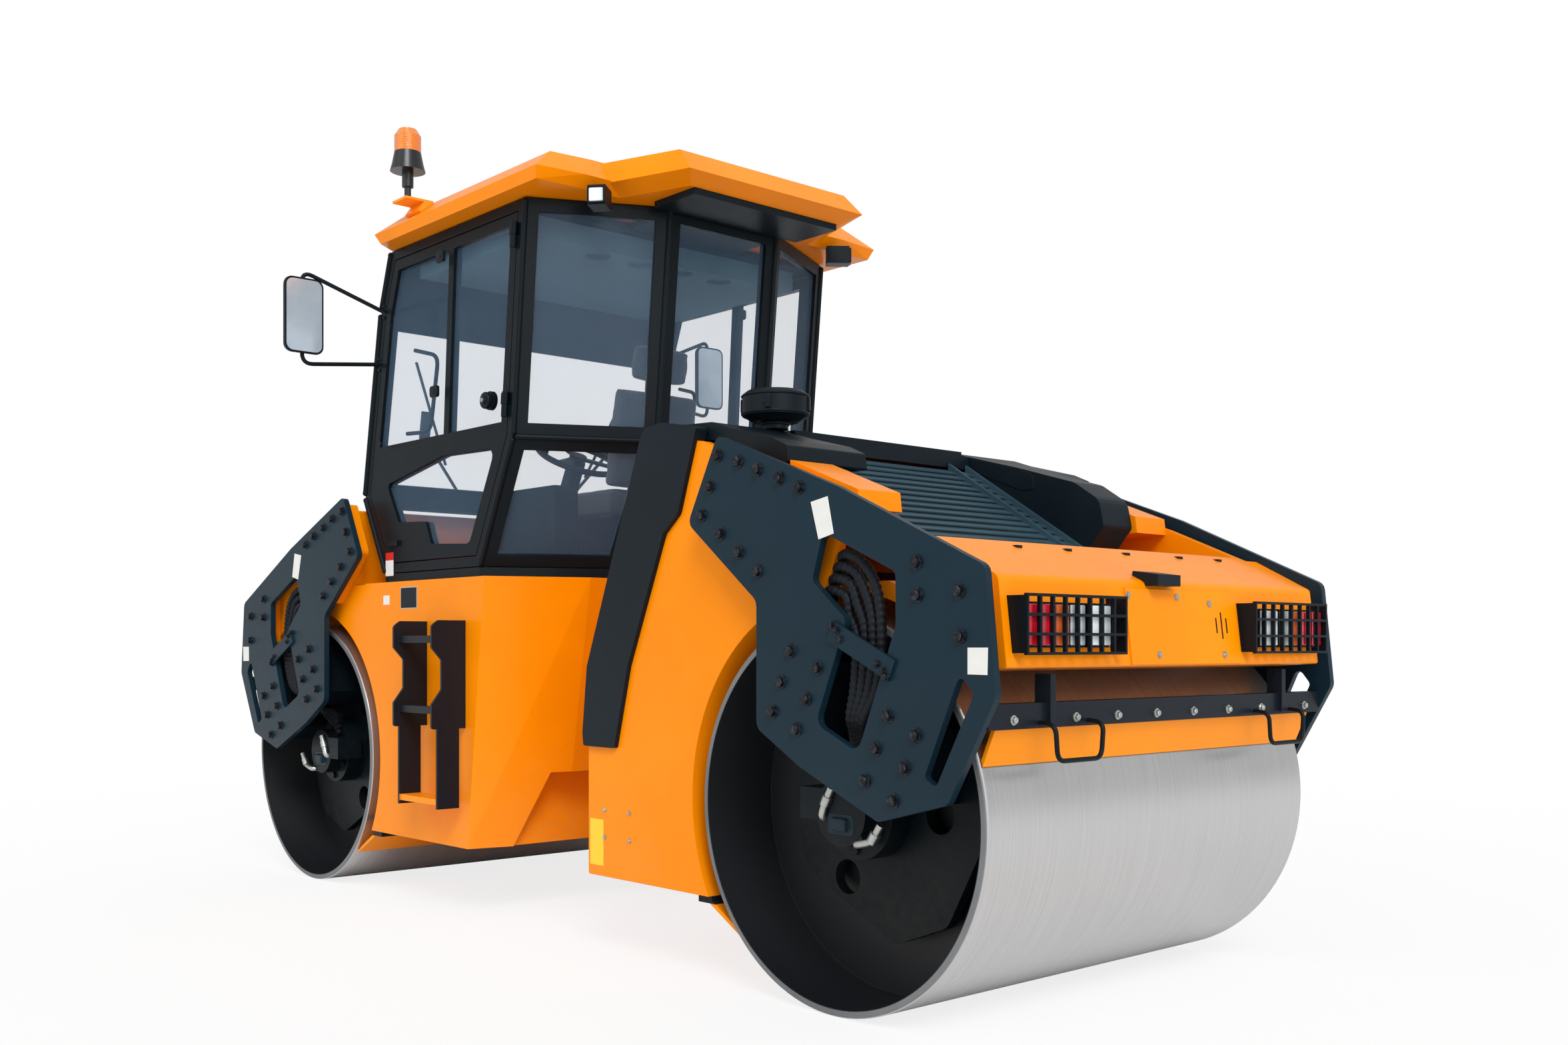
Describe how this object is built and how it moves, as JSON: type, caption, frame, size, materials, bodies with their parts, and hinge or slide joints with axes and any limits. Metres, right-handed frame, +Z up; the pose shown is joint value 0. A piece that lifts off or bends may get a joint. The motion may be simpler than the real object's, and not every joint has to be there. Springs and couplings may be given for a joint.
{
  "type": "tandem roller",
  "caption": "Articulated double-drum road roller with glazed cab, louvred engine hood, side-plate drum frames and steering cylinders.",
  "frame": {"origin": "on the ground under the centre pivot, midway between the drum axles", "axes": "+X forward toward the cab end, +Y to the machine's left, +Z up"},
  "size_m": [5.024, 2.48, 3.32],
  "materials": {
    "orange_paint": "gloss paint",
    "orange_plastic": "glossy moulded roof",
    "dark_paint": "satin dark blue-grey paint",
    "black_paint": "satin black paint",
    "lens_red": "moulded lamp lens",
    "lens_clear": "moulded lamp lens",
    "hose_rubber": "wrapped hydraulic hose",
    "engine_iron": "painted block",
    "black_plastic": "moulded plastic",
    "drum_steel": "rolled steel",
    "chrome_rod": "polished rod",
    "window_glass": "clear tinted glass",
    "grey_plastic": "moulded lining",
    "amber_plastic": "amber dome",
    "seat_cover": "vinyl seat cover"
  },
  "bodies": {
    "rear_frame": {"rear_frame": "orange_paint", "rear_bulkhead_cover": "dark_paint", "rear_side_plates": "dark_paint", "rear_hose_clamps": "dark_paint", "rear_drum_carriers": "black_paint", "rear_scrapers": "black_paint", "rear_lamps": "lens_red", "rear_lamp_guards": "dark_paint", "rear_hoses": "hose_rubber", "engine": "engine_iron"},
    "hood": {"hood": "black_paint", "hood_louvres": "black_paint", "precleaner": "black_plastic"},
    "rear_drum": {"rear_drum": "drum_steel"},
    "yoke": {"pivot_yoke": "dark_paint"},
    "steer_barrel_left": {"steer_barrel_left": "dark_paint"},
    "steer_barrel_right": {"steer_barrel_right": "dark_paint"},
    "steer_rod_left": {"steer_rod_left": "chrome_rod"},
    "steer_rod_right": {"steer_rod_right": "chrome_rod"},
    "front_frame": {"front_frame": "orange_paint", "front_side_plates": "dark_paint", "front_hose_clamps": "dark_paint", "front_drum_carriers": "black_paint", "front_scrapers": "black_paint", "front_lamps": "lens_clear", "front_lamp_guards": "dark_paint", "front_hoses": "hose_rubber", "steps": "black_paint", "cab_floor": "black_paint", "cab_frame": "dark_paint", "cab_glass": "window_glass", "headliner": "grey_plastic", "roof": "orange_plastic", "work_lamps": "lens_clear", "beacon": "amber_plastic", "mirrors": "black_plastic", "wipers": "black_plastic", "console": "black_plastic", "steering_wheel": "black_plastic", "seat": "seat_cover"},
    "front_drum": {"front_drum": "drum_steel"},
    "door_left": {"door_left": "dark_paint", "door_left_glass": "window_glass"},
    "door_right": {"door_right": "dark_paint", "door_right_glass": "window_glass"}
  },
  "joints": [
    {"name": "steer", "type": "hinge", "parent": "rear_frame", "child": "yoke", "pos_m": [0, 0, 0.5], "axis": [0, 0, 1], "range_deg": [-35, 35]},
    {"name": "oscillation", "type": "hinge", "parent": "yoke", "child": "front_frame", "pos_m": [0.3, 0, 0.5], "axis": [1, 0, 0], "range_deg": [-8, 8]},
    {"name": "rear_drum_spin", "type": "hinge", "parent": "rear_frame", "child": "rear_drum", "pos_m": [-1.79, 0, 0.61], "axis": [0, 1, 0], "continuous": true},
    {"name": "front_drum_spin", "type": "hinge", "parent": "front_frame", "child": "front_drum", "pos_m": [1.79, 0, 0.61], "axis": [0, 1, 0], "continuous": true},
    {"name": "hood_lift", "type": "hinge", "parent": "rear_frame", "child": "hood", "pos_m": [-0.914, 0, 1.857], "axis": [0, 1, 0], "range_deg": [0, 50]},
    {"name": "door_left_swing", "type": "hinge", "parent": "front_frame", "child": "door_left", "pos_m": [0.1105, 0.816, 1.948], "axis": [-0.0961, 0, 0.9954], "range_deg": [0, 85]},
    {"name": "door_right_swing", "type": "hinge", "parent": "front_frame", "child": "door_right", "pos_m": [0.1105, -0.816, 1.948], "axis": [0.0961, 0, -0.9954], "range_deg": [0, 85]},
    {"name": "steer_barrel_left_turn", "type": "hinge", "parent": "rear_frame", "child": "steer_barrel_left", "pos_m": [-0.45, 0.16, 0.5], "axis": [0, 0, 1], "range_deg": [-2, 2]},
    {"name": "steer_rod_left_slide", "type": "slide", "parent": "steer_barrel_left", "child": "steer_rod_left", "axis": [1, 0, 0], "range_m": [-0.095, 0.095]},
    {"name": "steer_barrel_right_turn", "type": "hinge", "parent": "rear_frame", "child": "steer_barrel_right", "pos_m": [-0.45, -0.16, 0.5], "axis": [0, 0, 1], "range_deg": [-2, 2]},
    {"name": "steer_rod_right_slide", "type": "slide", "parent": "steer_barrel_right", "child": "steer_rod_right", "axis": [1, 0, 0], "range_m": [-0.095, 0.095]}
  ],
  "couplings": [
    {"joint": "steer_barrel_left_turn", "follows": "steer", "ratio": -0.02},
    {"joint": "steer_rod_left_slide", "follows": "steer", "m_per_rad": -0.15},
    {"joint": "steer_barrel_right_turn", "follows": "steer", "ratio": -0.02},
    {"joint": "steer_rod_right_slide", "follows": "steer", "m_per_rad": 0.15}
  ]
}
